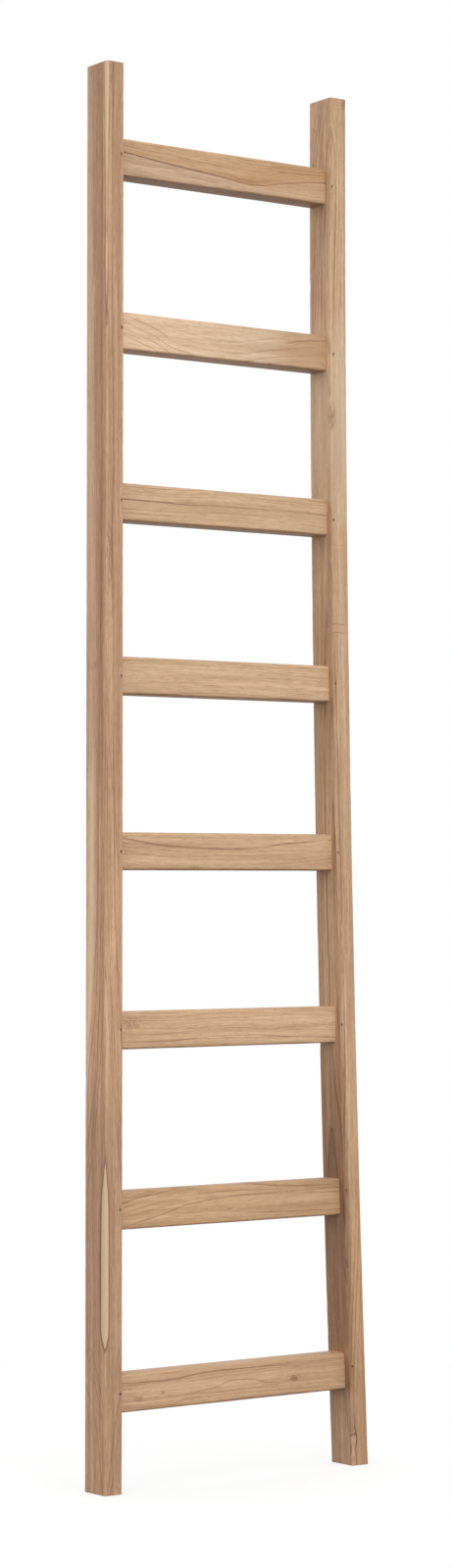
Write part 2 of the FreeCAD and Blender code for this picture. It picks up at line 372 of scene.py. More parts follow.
def drilled(mesh, name, pins):
    """The mesh with holes for the pins whose side and number are given."""
    tools = bmesh.new()
    for side, number in pins:
        x, z = pin_place(side, number)
        add_rod(tools, (x, -STILE_DEPTH / 2, z), PIN_RADIUS + PIN_GAP, 2 * PIN_LENGTH, HOLE_SEGMENTS)
    drill = show(bpy.data.objects.new(name + "_drill", finish_mesh(tools, name + "_drill")))
    wood = show(bpy.data.objects.new(name + "_undrilled", mesh))
    cut = wood.modifiers.new("drill", "BOOLEAN")
    cut.object = drill
    cut.operation = "DIFFERENCE"
    cut.solver = "EXACT"
    graph = bpy.context.evaluated_depsgraph_get()
    result = bpy.data.meshes.new_from_object(wood.evaluated_get(graph))
    bpy.data.objects.remove(wood)
    bpy.data.objects.remove(drill)
    result.name = name
    return result


def refine_foot(bm, side):
    """Divide the front of a stile's foot finely enough for its cracks."""
    top = FOOT_CRACKS[side][0][-2]

    def at_the_crack(middle):
        return middle.z < MM * (top + 4) and middle.y < CRACK_BACK

    cut_planes(bm, 2, steps(1, top - 1, 1), at_the_crack)
    cut_planes(bm, 0, steps(*CRACK_CUTS[side]), at_the_crack)
    if side == "right":
        cut_planes(bm, 1, steps(*SIDE_CUTS), at_the_crack)


def make_stile(side, material, seed):
    bm = rounded_bar(STILE_WIDTH, STILE_DEPTH, STILE_LENGTH, STILE_ARRIS, 3)
    ease_ends(bm, STILE_LENGTH, STILE_END_ARRIS)
    half = TENON_HEIGHT / 2 + MORTISE_SIDE_GAP
    spans = [(z - half, z + half) for z in RUNG_HEIGHTS]
    low = STILE_END_ARRIS
    high = STILE_LENGTH - STILE_END_ARRIS
    set_stations(bm, low, high, even_stations(low, high, STATION, [z for span in spans for z in span]))
    side_gap = TENON_THICKNESS / 2 + MORTISE_SIDE_GAP
    mouth = (RUNG_MIDDLE_DEPTH - side_gap, RUNG_MIDDLE_DEPTH + side_gap)
    cut_planes(bm, 1, STILE_CUTS_Y[:2] + mouth + STILE_CUTS_Y[2:])
    cut_planes(bm, 0, STILE_CUTS_X)
    refine_foot(bm, side)
    bmesh.ops.recalc_face_normals(bm, faces=bm.faces)
    wear(bm.verts, STILE_WIDTH / 2, STILE_DEPTH / 2, STILE_WEAR, seed, STILE_LENGTH)
    crack_foot(bm, side)
    open_sockets(bm, outwards(side, -1), TENON_LENGTH + MORTISE_END_GAP, spans, mouth)
    for v in bm.verts:
        v.co.x += inner_face(side, v.co.z) + outwards(side, STILE_WIDTH / 2)
    name = side + "_stile_worn"
    mesh = drilled(finish_mesh(bm, name), name, [(side, number) for number in NUMBERS])
    return add_piece(mesh, name, material, side + "_stile")


def add_tenons(bm):
    """Grow a tenon with a lead from both ends of a bar of length 1. A tenon's own length is 1 too."""
    lead = TENON_LEAD / TENON_LENGTH
    narrow = (1 - 2 * TENON_LEAD / TENON_HEIGHT, 1 - 2 * TENON_LEAD / TENON_THICKNESS, 1)
    for end in (0, 1):
        faces = []
        for face in bm.faces:
            spot = face.calc_center_median()
            inside = abs(spot.y) < TENON_THICKNESS / 2 and abs(spot.x) < TENON_HEIGHT / 2
            if abs(spot.z - end) < NEARLY and inside:
                faces.append(face)
        way = 2 * end - 1
        for reach in (1 - lead, lead):
            faces, moved = grow(bm, faces, (0, 0, way * reach))
        bmesh.ops.scale(bm, vec=narrow, verts=moved)


def make_rung(number, material, seed):
    """A bar with a tenon on each end, made standing up and then laid along X."""
    middle = RUNG_HEIGHTS[number - 1]
    bm = rounded_bar(RUNG_FACE, RUNG_THICKNESS, 1.0, RUNG_ARRIS, 4)
    cut_planes(bm, 1, (-TENON_THICKNESS / 2, 0, TENON_THICKNESS / 2))
    cut_planes(bm, 0, (-TENON_HEIGHT / 2, -RUNG_CUT_X, 0, RUNG_CUT_X, TENON_HEIGHT / 2))
    length = inner_face("right", middle) - inner_face("left", middle)
    set_stations(bm, 0, 1.0, even_stations(0, 1.0, STATION / length))
    add_tenons(bm)
    for v in bm.verts:
        share = held(v.co.z)
        v.co.z = share * length + (v.co.z - share) * TENON_LENGTH
    body = [v for v in bm.verts if -NEARLY < v.co.z < length + NEARLY]
    wear(body, RUNG_FACE / 2, RUNG_THICKNESS / 2, RUNG_WEAR, seed)
    turn = Matrix.Rotation(math.pi / 2, 4, "Y")
    bmesh.ops.rotate(bm, cent=(0, 0, 0), matrix=turn, verts=bm.verts)
    for v in bm.verts:
        share = held(v.co.x / length)
        beyond = v.co.x - share * length
        height = middle + v.co.z
        left = inner_face("left", height) + SHOULDER_GAP
        right = inner_face("right", height) - SHOULDER_GAP
        v.co = Vector((left + (right - left) * share + beyond, v.co.y + RUNG_MIDDLE_DEPTH, height))
    name = "rung_{}_worn".format(number)
    mesh = drilled(finish_mesh(bm, name), name, [(side, number) for side in SIDES])
    return add_piece(mesh, name, material, "rung_{}".format(number))


def make_pin(side, number, material):
    """A steel pin with a slightly domed end, driven a little below the wood."""
    x, z = pin_place(side, number)
    front = -STILE_DEPTH / 2 + PIN_SINK
    back = -STILE_DEPTH / 2 + PIN_LENGTH
    bm = bmesh.new()
    add_rod(bm, (x, (front + back) / 2, z), PIN_RADIUS, back - front, PIN_SEGMENTS)
    rim = [e for e in bm.edges if max(v.co.y for v in e.verts) < front + NEARLY]
    bevel(bm, rim, PIN_RADIUS * PIN_DOME, 2)
    node = "{}_pin_{}".format(side, number)
    return add_piece(finish_mesh(bm, node + "_driven"), node + "_driven", material, node)


# ---------------------------------------------------------------- node tools


class Board:
    """A node tree with short calls to add and join nodes."""

    def __init__(self, tree):
        self.tree = tree

    def node(self, kind, **settings):
        made = self.tree.nodes.new(kind)
        for key, value in settings.items():
            setattr(made, key, value)
        return made

    def join(self, value, socket):
        if isinstance(value, bpy.types.NodeSocket):
            self.tree.links.new(value, socket)
        elif value is not None:
            socket.default_value = value

    def feed(self, node, **values):
        """Join values to a node's inputs. Each is named as its socket, with _ for a space."""
        for label, value in values.items():
            self.join(value, node.inputs[label.replace("_", " ")])
        return node

    def place(self, group, **values):
        """Place a node group, and give its outputs."""
        return self.feed(self.node("ShaderNodeGroup", node_tree=group), **values).outputs

    def hand_on(self, group):
        """Place a group inside another one, which hands on its own sockets of the same names."""
        made = self.node("ShaderNodeGroup", node_tree=group)
        for socket in made.inputs:
            self.join(self.given[socket.name], socket)
        return made.outputs

    def finish(self, **values):
        """Join a group's results, and give the group."""
        self.feed(self.result, **values)
        return self.tree

    def math(self, operation, a, b=None, c=None, clamp=False):
        made = self.node("ShaderNodeMath", operation=operation, use_clamp=clamp)
        for value, socket in zip((a, b, c), made.inputs):
            self.join(value, socket)
        return made.outputs[0]

    def times(self, first, *others):
        for other in others:
            first = self.math("MULTIPLY", first, other)
        return first

    def plus(self, a, b):
        return self.math("ADD", a, b)

    def minus(self, a, b):
        return self.math("SUBTRACT", a, b)

    def times_plus(self, a, b, c):
        return self.math("MULTIPLY_ADD", a, b, c)

    def size(self, value):
        return self.math("ABSOLUTE", value)

    def vector(self, operation, a, b=None, scale=None):
        made = self.node("ShaderNodeVectorMath", operation=operation)
        for value, number in ((a, 0), (b, 1), (scale, 3)):
            self.join(value, made.inputs[number])
        return made.outputs[1 if operation == "LENGTH" else 0]

    def split(self, vector):
        return self.feed(self.node("ShaderNodeSeparateXYZ"), Vector=vector).outputs

    def combine(self, x, y, z):
        return self.feed(self.node("ShaderNodeCombineXYZ"), X=x, Y=y, Z=z).outputs[0]

    def away(self, place, centre, size):
        """How far a place is from a centre, measured in a size of its own along each axis."""
        return self.vector("LENGTH", self.vector("DIVIDE", self.vector("SUBTRACT", place, centre), size))

    def shifted(self, place, seed):
        return self.vector("ADD", place, self.combine(seed, seed, seed))

    def fade(self, value, low, high, to_low=0.0, to_high=1.0):
        """A smooth step from one value to another."""
        made = self.node("ShaderNodeMapRange", interpolation_type="SMOOTHSTEP")
        self.feed(made, Value=value, From_Min=low, From_Max=high, To_Min=to_low, To_Max=to_high)
        return made.outputs[0]

    def fall(self, value, low, high, top=1.0):
        """A smooth step down to nothing."""
        return self.fade(value, low, high, top, 0.0)

    def cloud(self, place, scale, detail=2.0, roughness=0.5):
        """Smooth noise whose scale differs along the three axes."""
        made = self.node("ShaderNodeTexNoise")
        stretched = self.vector("MULTIPLY", place, scale)
        self.feed(made, Vector=stretched, Scale=1.0, Detail=detail, Roughness=roughness)
        return made.outputs["Fac"]

    def waver(self, place, scale, detail=2.0, roughness=0.5):
        """The same noise about zero."""
        return self.minus(self.cloud(place, scale, detail, roughness), 0.5)

    def profile(self, value, points, unit=1.0):
        """A smooth curve through given points: a place in millimetres, the value there, and so on."""
        places = points[::2]
        values = points[1::2]
        low = min(values)
        span = max(max(values) - low, 1e-6)
        start = places[0]
        reach = places[-1] - start
        made = self.node("ShaderNodeMapRange")
        self.feed(made, Value=value, From_Min=start * MM, From_Max=(start + reach) * MM)
        curve = self.feed(self.node("ShaderNodeFloatCurve"), Value=made.outputs[0])
        line = curve.mapping.curves[0]
        line.points[0].location = (0, (values[0] - low) / span)
        line.points[1].location = (1, (values[-1] - low) / span)
        for place, height in zip(places[1:-1], values[1:-1]):
            line.points.new((place - start) / reach, (height - low) / span)
        curve.mapping.update()
        return self.times_plus(curve.outputs[0], span * unit, low * unit)

    def mix(self, share, a, b, blend="MIX"):
        made = self.node("ShaderNodeMix", data_type="RGBA", blend_type=blend)
        for value, number in ((share, 0), (a, 6), (b, 7)):
            self.join(value, made.inputs[number])
        return made.outputs[2]

    def stain(self, share, colour, tone, blend="MIX"):
        return self.mix(share, colour, srgb(*tone), blend)

    def bump(self, shader, height, strength, distance):
        made = self.feed(self.node("ShaderNodeBump"), Strength=strength, Distance=distance, Height=height)
        self.feed(shader, Normal=made.outputs["Normal"])

    def object_place(self):
        return self.node("ShaderNodeTexCoord").outputs["Object"]

    def seen(self):
        """1 for what the camera sees straight, in a mirror or through glass."""
        path = self.node("ShaderNodeLightPath").outputs
        either = self.plus(path["Is Camera Ray"], path["Is Glossy Ray"])
        return self.math("ADD", either, path["Is Transmission Ray"], clamp=True)

    def blend(self, share, first, second, output):
        """Show a blend of two shaders at the output node."""
        made = self.node("ShaderNodeMixShader")
        for value, number in ((share, 0), (first, 1), (second, 2)):
            self.join(value, made.inputs[number])
        self.join(made.outputs[0], output.inputs["Surface"])


# The kinds of the groups' sockets that aren't plain numbers.
SOCKET_KINDS = {
    "Place": "Vector", "Position": "Vector", "Pith": "Vector", "Drift": "Vector", "Centre": "Vector",
    "Size": "Vector", "Light Tone": "Color", "Mid Tone": "Color", "Line Tone": "Color", "Color": "Color",
}


def new_group(name, inputs, outputs):
    """The board of an empty node group with named sockets."""
    tree = bpy.data.node_groups.new(name, "ShaderNodeTree")
    for way, labels in (("INPUT", inputs), ("OUTPUT", outputs)):
        for label in labels:
            kind = "NodeSocket" + SOCKET_KINDS.get(label, "Float")
            tree.interface.new_socket(name=label, in_out=way, socket_type=kind)
    board = Board(tree)
    board.given = board.node("NodeGroupInput").outputs
    board.result = board.node("NodeGroupOutput")
    return board


# ---------------------------------------------------------------- wood, as shared effects

RING_SOCKETS = ("Pith", "Drift", "Wander", "Wander Pace", "Ring Width", "Ripple", "Line Start")
ARRIS_REACH = 0.003


def bar_place_group():
    """Where a point lies in a leaning, bowed bar: X and Y across it from its middle, Z along it."""
    board = new_group("Bar Place", ("Position", "Foot Middle", "Run In", "Bow"), ("Place",))
    get = board.given
    x, y, z = board.split(get["Position"])
    share = board.math("DIVIDE", z, STILE_LENGTH)
    arch = board.times(share, board.minus(1.0, share), 4.0)
    lean = board.times_plus(share, get["Run In"], get["Foot Middle"])
    middle = board.times_plus(arch, get["Bow"], lean)
    return board.finish(Place=board.combine(board.minus(x, middle), y, z))


def rings_group():
    """Growth rings round a pith that leans and wanders beside the bar."""
    board = new_group("Growth Rings", ("Place", "Seed") + RING_SOCKETS, ("Line", "Ring"))
    get = board.given
    place = get["Place"]
    seed = get["Seed"]
    pace = board.times(board.split(place)[2], get["Wander Pace"])
    way = board.node("ShaderNodeTexNoise")
    board.feed(way, Vector=board.combine(seed, board.times(seed, 1.7), pace), Scale=1.0, Detail=1.0)
    wandered = board.vector("SUBTRACT", way.outputs["Color"], (0.5, 0.5, 0.5))
    wandered = board.vector("SCALE", wandered, scale=get["Wander"])
    from_pith = place
    for part in (get["Pith"], get["Drift"], wandered):
        from_pith = board.vector("SUBTRACT", from_pith, part)
    radius = board.vector("LENGTH", board.vector("MULTIPLY", from_pith, (1, 1, 0)))
    ripple = board.waver(board.shifted(place, seed), (38, 38, 7), 2.0, 0.45)
    radius = board.times_plus(ripple, get["Ripple"], radius)
    count = board.math("DIVIDE", radius, get["Ring Width"])
    uneven = board.node("ShaderNodeTexNoise", noise_dimensions="1D")
    board.feed(uneven, W=board.plus(board.times(count, 0.45), seed), Scale=1.0, Detail=0.0)
    count = board.times_plus(uneven.outputs["Fac"], 1.6, count)
    within = board.math("FRACT", count)
    chance = board.node("ShaderNodeTexWhiteNoise", noise_dimensions="1D")
    board.feed(chance, W=board.plus(board.math("FLOOR", count), seed))
    line = board.times(board.fade(within, get["Line Start"], 0.92), board.fall(within, 0.93, 1.0))
    return board.finish(Line=line, Ring=chance.outputs["Value"])


def pores_group():
    """Fine open pores and hair-thin streaks that run along the grain."""
    board = new_group("Pores And Streaks", ("Place", "Seed"), ("Pores", "Streaks", "Bands", "Mottle"))
    place = board.shifted(board.given["Place"], board.given["Seed"])
    slid = board.times(board.waver(place, (9, 9, 5), 1.0), 0.006)
    place = board.vector("ADD", place, board.combine(slid, slid, 0.0))
    return board.finish(
        Pores=board.fade(board.cloud(place, (1300, 1300, 60), 2.0, 0.6), 0.55, 0.7),
        Streaks=board.cloud(place, (430, 430, 11), 4.0, 0.65),
        Bands=board.cloud(place, (120, 120, 2.8), 2.0, 0.5),
        Mottle=board.cloud(place, (260, 260, 75), 3.0, 0.65))


def arris_group():
    """How near a point is to a long arris, broken up as hands and feet wear it."""
    board = new_group("Worn Arris", ("Place", "Half Width", "Half Depth", "Seed"), ("Wear",))
    get = board.given
    x, y = board.split(get["Place"])[:2]
    in_x = board.minus(get["Half Width"], board.size(x))
    in_y = board.minus(get["Half Depth"], board.size(y))
    away = board.vector("LENGTH", board.combine(in_x, in_y, 0.0))
    near = board.fall(away, 0.0, ARRIS_REACH)
    shifted = board.shifted(get["Place"], get["Seed"])
    broken = board.fade(board.cloud(shifted, (90, 90, 26), 3.0, 0.6), 0.38, 0.66)
    return board.finish(Wear=board.times(near, broken))


def wood_group():
    """The colour, roughness and height of a bar of oiled, slightly weathered wood."""
    inputs = ("Place", "Seed", "Light Tone", "Mid Tone", "Line Tone", "Line Strength", "Streak Strength",
              "Tone", "Half Width", "Half Depth")
    board = new_group("Oiled Wood", inputs + RING_SOCKETS, ("Color", "Roughness", "Height"))
    get = board.given
    grown = board.hand_on(rings_group())
    fine = board.hand_on(pores_group())
    wear = board.hand_on(arris_group())["Wear"]
    ground = board.mix(board.fade(fine["Bands"], 0.34, 0.66), get["Light Tone"], get["Mid Tone"])
    ground = board.mix(board.times(grown["Ring"], 0.35), ground, get["Mid Tone"])
    streak = board.fade(fine["Streaks"], 0.28, 0.72, 1.13, 0.8)
    mottle = board.fade(fine["Mottle"], 0.28, 0.72, 1.07, 0.9)
    shade = board.math("POWER", board.times(streak, mottle), get["Streak Strength"])
    warm = board.combine(board.math("POWER", shade, 0.85), shade, board.math("POWER", shade, 1.15))
    ground = board.mix(1.0, ground, warm, "MULTIPLY")
    tone = board.combine(get["Tone"], get["Tone"], get["Tone"])
    ground = board.mix(1.0, ground, tone, "MULTIPLY")
    shifted = board.vector("ADD", get["Place"], board.combine(get["Seed"], 0.0, get["Seed"]))
    broken = board.fade(board.cloud(shifted, (55, 55, 7), 3.0, 0.65), 0.3, 0.62)
    chance = board.fade(grown["Ring"], 0.1, 0.9, 0.3, 1.0)
    line = board.times(grown["Line"], chance, broken, get["Line Strength"])
    colour = board.mix(line, ground, get["Line Tone"])
    colour = board.mix(board.times(fine["Pores"], 0.34), colour, get["Line Tone"])
    colour = board.mix(board.times(wear, 0.35), colour, get["Light Tone"])
    rough = board.fade(fine["Streaks"], 0.2, 0.8, 0.5, 0.64)
    rough = board.times_plus(wear, -0.08, rough)
    rough = board.times_plus(fine["Pores"], 0.12, rough)
    height = board.times(fine["Pores"], -0.7)
    height = board.times_plus(line, -0.5, height)
    height = board.times_plus(fine["Streaks"], 0.5, height)
    return board.finish(Color=colour, Roughness=rough, Height=height)


def drawn_line_group():
    """One marked growth line or a band of tone: Across is where the point is, Course where the line is."""
    inputs = ("Place", "Across", "Course", "Half Width", "Strength", "Broken", "Seed")
    board = new_group("Marked Line", inputs, ("Mask", "Beyond"))
    get = board.given
    half = get["Half Width"]
    shifted = board.shifted(get["Place"], get["Seed"])
    waver = board.times(board.waver(shifted, (60, 60, 22)), board.times(half, 1.6))
    away = board.minus(board.minus(get["Across"], get["Course"]), waver)
    near = board.fall(board.size(away), 0.0, board.times(half, 2.0))
    gaps = board.fade(board.cloud(shifted, (240, 240, 45), 2.0, 0.6), 0.34, 0.58)
    kept = board.minus(1.0, board.times(get["Broken"], board.minus(1.0, gaps)))
    beyond = board.fade(away, board.times(half, -1.0), half)
    return board.finish(Mask=board.times(near, kept, get["Strength"]), Beyond=beyond)


def knot_group():
    """A small knot: a dark broken heart with a swirl of fine rings round it."""
    board = new_group("Knot", ("Place", "Centre", "Size", "Seed"), ("Heart", "Swirl"))
    get = board.given
    from_heart = board.away(get["Place"], get["Centre"], get["Size"])
    rough = board.waver(board.shifted(get["Place"], get["Seed"]), (260, 260, 170), 3.0, 0.6)
    away = board.plus(from_heart, board.times(rough, 0.9))
    ring = board.fade(board.math("SINE", board.times(away, 11.0)), 0.3, 1.0)
    swirl = board.times(ring, board.fall(away, 0.6, 1.9))
    return board.finish(Heart=board.fall(away, 0.25, 1.0), Swirl=swirl)


def srgb(*levels):
    """A colour as a paint chart gives it, 0 to 255, in the renderer's own terms."""
    shares = [level / 255 for level in levels]
    return tuple(s / 12.92 if s <= 0.04045 else ((s + 0.055) / 1.055) ** 2.4 for s in shares) + (1.0,)


def in_mm(numbers):
    return [MM * number for number in numbers]


def new_material(name):
    material = bpy.data.materials.new(name)
    material.use_nodes = True
    return material, Board(material.node_tree), material.node_tree.nodes["Principled BSDF"]


def wood_material(name, place_of, groups, half_width, half_depth, look):
    """One bar's wood. place_of gives the board's sockets for the place in the bar and along it."""
    material, board, shader = new_material(name)
    place, along = place_of(board)
    across = dict(zip("xy", board.split(place)))
    drift = board.combine(*[board.profile(along, look["drift_" + axis], MM) for axis in "xy"], 0.0)
    wood = board.place(groups["wood"], Place=place, Half_Width=half_width, Half_Depth=half_depth,
                       Drift=drift, Tone=board.profile(along, look["tone"]), **look["wood"])
    colour = wood["Color"]
    height = wood["Height"]
    for number, (axis, course, reach, strength, broken, tone) in enumerate(look["lines"]):
        mask = board.place(groups["line"], Place=place, Across=across[axis], Half_Width=reach * MM,
                           Course=board.profile(along, course, MM), Broken=broken,
                           Strength=board.profile(along, strength), Seed=number * LINE_SEED_STEP)["Mask"]
        colour = board.stain(mask, colour, tone)
        if reach < WIDEST_GROOVE:
            height = board.times_plus(mask, -0.6, height)
    # Multiply one side of a line by a tone: tints of the wood, and also the painted shade along the rungs'
    # lower arrises and on the right stile's inner face.
    for axis, course, reach, strength, tone in look["sides"]:
        beyond = board.place(groups["line"], Place=place, Across=across[axis], Half_Width=reach * MM,
                             Course=board.profile(along, course, MM))["Beyond"]
        share = board.times(beyond, board.profile(along, strength))
        colour = board.stain(share, colour, tone, "MULTIPLY")
    for number, (centre, size, heart, swirl, tone) in enumerate(look["knots"]):
        knot = board.place(groups["knot"], Place=place, Centre=in_mm(centre), Size=in_mm(size),
                           Seed=number * KNOT_SEED_STEP)
        for part, strength in (("Swirl", swirl), ("Heart", heart)):
            colour = board.stain(board.times(knot[part], strength), colour, tone)
    for mark, *settings in look["marks"]:
        colour = mark(board, place, along, colour, *settings)
    board.feed(shader, Base_Color=colour, Roughness=wood["Roughness"], IOR=1.45, Specular_IOR_Level=0.35)
    board.bump(shader, height, 0.5, 0.0003)
    return material


def stile_place(groups, side):
    """Gives the place in a stile, straightened along its lean and bow."""
    def build(board):
        foot = outwards(side, INNER_AT_FOOT / 2 + STILE_WIDTH / 2)
        bow = 0.0 if side == "left" else -RIGHT_BOW
        place = board.place(groups["place"], Position=board.object_place(), Foot_Middle=foot,
                            Run_In=outwards(side, -TOP_RUN_IN), Bow=bow)["Place"]
        return place, board.split(place)[2]

    return build


def rung_place(number):
    """Gives the place in a rung: X up its face, Y through it, Z along it."""
    def build(board):
        source = board.object_place()
        middle = (0, -RUNG_MIDDLE_DEPTH, -RUNG_HEIGHTS[number - 1])
        shift = board.feed(board.node("ShaderNodeMapping"), Vector=source, Location=middle)
        turn = board.feed(board.node("ShaderNodeMapping"), Vector=shift.outputs["Vector"],
                          Rotation=(0, math.pi / 2, 0))
        return turn.outputs["Vector"], board.split(source)[0]

    return build


def steel_material():
    """Dark, slightly rusted wire steel."""
    material, board, shader = new_material("pin_steel")
    grain = board.cloud(board.object_place(), (900, 900, 900), 3.0, 0.6)
    colour = board.mix(board.fade(grain, 0.4, 0.65), srgb(44, 33, 27), srgb(70, 46, 34))
    board.feed(shader, Base_Color=colour, Roughness=board.fade(grain, 0.3, 0.7, 0.45, 0.8), Metallic=0.25)
    board.bump(shader, grain, 0.4, 0.0001)
    return material


# ---------------------------------------------------------------- each bar's own wood

# Places are in millimetres: along the bar from its foot or from the ladder's middle, and across the
# bar from its own middle. A course, a drift or a strength is a row of places along the bar, each
# followed by the value there. A line is the axis that it lies across, its course, half its width, its
# strength, how broken it is and its tone. A mark is a function and what it is given.

FLAT = (-190, 0, 190, 0)
FULL = (-190, 1, 190, 1)
DARK = (112, 76, 54)
UMBER = (136, 98, 72)
ROSY = (150, 106, 84)
CREAM = (226, 196, 162)
CRACK = (84, 58, 44)
# Lines with a smaller half width than this are grooves as well as marks.
WIDEST_GROOVE = 1.5
PITH_WANDER = 3.0
PITH_PACE = 3.0
LINE_SEED_STEP = 3.7
KNOT_SEED_STEP = 5.3


def look(light, mid, line, pith, seed, drift_x=FLAT, drift_y=FLAT, tone=FULL, ring=3.0, ripple=2.0,
        strength=0.6, start=0.72, streak=0.6, lines=(), sides=(), knots=(), marks=()):
    wood = {"Light_Tone": srgb(*light), "Mid_Tone": srgb(*mid), "Line_Tone": srgb(*line),
            "Pith": in_mm(pith), "Wander": PITH_WANDER * MM, "Wander_Pace": PITH_PACE,
            "Ring_Width": ring * MM, "Ripple": ripple * MM, "Line_Strength": strength,
            "Line_Start": start, "Streak_Strength": streak, "Seed": seed}
    return {"wood": wood, "drift_x": drift_x, "drift_y": drift_y, "tone": tone, "lines": lines,
            "sides": sides, "knots": knots, "marks": marks}


def scaled(points, factor):
    """A row of places and values, with the values made larger."""
    return [item * factor if number % 2 else item for number, item in enumerate(points)]


# Painted shade along the lower arrises of the rungs, darkening them towards their undersides.
UNDERSIDE_PAINTED_SHADE = ("x", (-190, -23, 190, -23), -1.6, (-190, 0.75, 190, 0.75), (168, 144, 126))
# How deep the pale outer wood lies at the left stile's front-outer arris, where it isn't negative.
LEFT_SAP = (0, -30, 90, -20, 140, -10, 189, 0, 200, 2.4, 215, 4.4, 300, 4.6, 380, 4.0, 412, 2, 440, 0,
 480, -3, 620, -8, 820, -12, 1000, -13, 1300, -9, 1480, -4, 1560, 0, 1610, 1.0, 1640, 1.4, 1672, 0.8,
 1760, 1.6, 1850, 2.4, 1900, 3.0)
# How strong its dark edge is.
LEFT_RIM = (0, 0.0, 120, 0.3, 185, 0.75, 440, 0.6, 520, 0.15, 1500, 0.2, 1560, 0.6, 1660, 0.45, 1760, 0.15,
 1900, 0.1)
# Which way that depth runs into the stile, and how far the rings move along it.
SAP_SQUARE = (0.862, 0.507)
LEFT_DRIFT = (0, -26, 90, -18, 140, -9, 189, 0, 215, 4.4, 300, 4.6, 380, 4.0, 440, 0, 480, -3, 560, -8.5,
 700, -16, 800, -19, 950, -20, 1250, -22, 1425, -21, 1600, -23, 1900, -22)
# The arch's lines: height, half width at its top and strength.
ARCH_LINES = ((0.462, 0.004, 1.0), (0.451, 0.003, 0.8), (0.440, 0.002, 0.5), (0.478, 0.002, 0.4))


def left_sapwood(board, place, along, colour):
    """The pale outer wood that the left stile's front-outer arris runs in and out of, with its dark edge."""
    x, y = board.split(place)[:2]
    in_x = board.times(board.plus(x, STILE_WIDTH / 2), SAP_SQUARE[0])
    in_y = board.times(board.plus(y, STILE_DEPTH / 2), SAP_SQUARE[1])
    depth = board.minus(board.plus(in_x, in_y), board.profile(along, LEFT_SAP, MM))
    beyond = board.times_plus(board.waver(place, (80, 80, 14)), 0.0012, depth)
    pale = board.fall(beyond, -0.0004, 0.0003, 0.9)
    rim = board.times(board.fade(beyond, 0.0, 0.0006), board.fall(beyond, 0.0007, 0.0022))
    colour = board.stain(board.times(rim, board.profile(along, LEFT_RIM)), colour, DARK)
    return board.stain(pale, colour, (216, 184, 149))


def right_arch(board, place, along, colour):
    """The pointed arch of growth rings on the right stile's inner face, and its darker inside."""
    x, y, z = board.split(place)
    aside = board.minus(y, 0.001)
    fall = board.times(aside, aside, 560.0)
    level = board.plus(board.plus(z, fall), board.times(board.waver(place, (70, 70, 30)), 0.012))
    near_face = board.fall(x, -0.010, 0.002)
    fades = board.fade(z, 0.375, 0.41)
    for height, reach, strength in ARCH_LINES:
        wide = board.times_plus(board.size(aside), 1.0, reach)
        mask = board.fall(board.size(board.minus(level, height)), 0.0, wide)
        colour = board.stain(board.times(mask, strength, near_face, fades), colour, (92, 64, 50))
    inside = board.times(board.fall(level, 0.445, 0.462), fades, near_face, 0.6)
    return board.stain(inside, colour, (118, 86, 68))


def blotch(board, place, along, colour, centre, size, strength, tone, grain=(160, 160, 60)):
    """A patch of another tone, broken up, as round a bad spot in the wood. Millimetres."""
    window = board.fall(board.away(place, in_mm(centre), in_mm(size)), 0.45, 1.0)
    broken = board.fade(board.cloud(place, grain, 3.0, 0.6), 0.43, 0.58)
    return board.stain(board.times(window, broken, strength), colour, tone)


def scar(board, place, along, colour, height, half, strength):
    """A short pink band across the front with thin dark borders, left by a small side branch."""
    x, y, z = board.split(place)
    half *= MM
    level = board.times_plus(board.waver(place, (150, 150, 60)), 0.004, board.minus(z, height * MM))
    away = board.size(level)
    broken = board.fade(board.cloud(place, (260, 260, 260), 3.0, 0.6), 0.35, 0.62, 0.35, 1.0)
    here = board.times(board.fall(y, -0.0225, -0.019),
                       board.fade(x, 0.004, 0.012, strength, 0.2 * strength), broken)
    inside = board.times(board.fall(away, half - 0.002, half, 0.65), here)
    colour = board.stain(inside, colour, (206, 158, 126))
    rim = board.fall(board.size(board.minus(away, half)), 0.0, 0.0011, 0.8)
    return board.stain(board.times(rim, here), colour, (138, 92, 64))


def loose_sliver(board, place, colour, aside, front):
    """The pale sliver beside the right foot's crack, the branch above it and the hollow behind it."""
    x, y, z = board.split(place)
    low = board.times(board.fall(z, 0.036, 0.043, 0.75), front)
    sliver = board.times(board.fall(aside, -0.002, -0.0004), low)
    colour = board.stain(sliver, colour, (206, 170, 136))
    level = board.minus(z, board.profile(x, RIGHT_BRANCH, MM))
    branch = board.fall(board.size(level), 0.0002, 0.0011, 0.8)
    branch = board.times(branch, front, board.fall(x, -0.007, -0.0055))
    colour = board.stain(branch, colour, CRACK)
    hollow = board.away(place, (-0.0137, -0.0208, 0.023), (0.003, 0.0016, 0.009))
    return board.stain(board.fall(hollow, 0.4, 1.2, 0.7), colour, (92, 62, 50))


def foot_crack(board, place, along, colour, side):
    """The foot's drying cracks, dark."""
    course, depth = FOOT_CRACKS[side]
    x, y = board.split(place)[:2]
    front = board.fall(y, -0.0222, -0.0195)
    aside = board.minus(x, board.profile(along, course, MM))
    if side == "right":
        colour = loose_sliver(board, place, colour, aside, front)
    line = board.times(board.fall(board.size(aside), 0.0001, 0.0009), front)
    line = board.math("MULTIPLY", line, board.profile(along, depth), clamp=True)
    return board.stain(board.times(line, 0.8), colour, CRACK)


